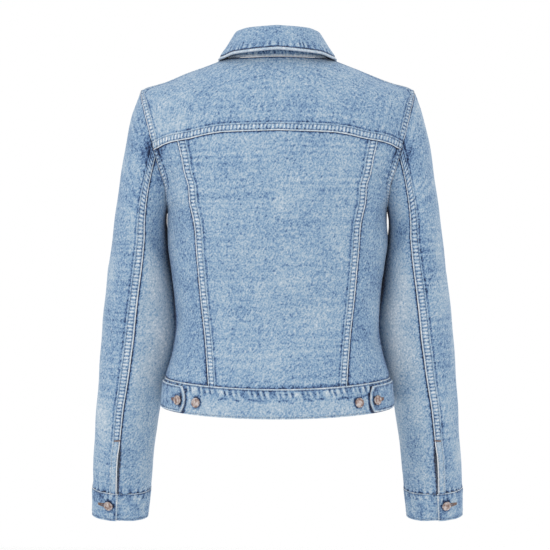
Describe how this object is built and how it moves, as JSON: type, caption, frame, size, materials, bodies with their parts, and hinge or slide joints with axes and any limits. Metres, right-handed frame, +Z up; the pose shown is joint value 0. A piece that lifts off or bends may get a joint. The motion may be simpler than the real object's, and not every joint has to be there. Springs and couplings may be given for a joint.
{
  "type": "denim trucker jacket",
  "caption": "Women's cropped denim trucker jacket in light wash, buttoned up and filled out, sleeves hanging.",
  "frame": {"origin": "middle of the neck opening, between the neck ends of the two shoulder seams, where the jacket is held on the shoulders", "axes": "+Z up towards the collar, -Y the wearer's front, +X the wearer's left"},
  "size_m": [0.5566, 0.2661, 0.7196],
  "materials": {
    "denim": "matte washed twill",
    "denim_doubled": "matte washed twill, two layers",
    "button_metal": "worn antique copper plating"
  },
  "bodies": {
    "root": {"back_yoke": "denim", "back_centre": "denim", "back_side_left": "denim", "back_side_right": "denim", "front_left": "denim", "front_right": "denim", "front_yoke_left": "denim", "front_yoke_right": "denim", "sleeve_upper_left": "denim", "sleeve_under_left": "denim", "sleeve_upper_right": "denim", "sleeve_under_right": "denim", "placket_over": "denim_doubled", "placket_under": "denim_doubled", "waistband": "denim_doubled", "tab_left": "denim_doubled", "tab_right": "denim_doubled", "collar_stand": "denim_doubled", "collar_fall": "denim_doubled", "cuff_left": "denim_doubled", "cuff_right": "denim_doubled", "button_front_1": "button_metal", "button_front_2": "button_metal", "button_front_3": "button_metal", "button_front_4": "button_metal", "button_front_5": "button_metal", "button_front_6": "button_metal", "button_tab_left": "button_metal", "button_tab_right": "button_metal", "button_band_left": "button_metal", "button_band_right": "button_metal", "button_cuff_left": "button_metal", "button_cuff_right": "button_metal"}
  },
  "joints": []
}
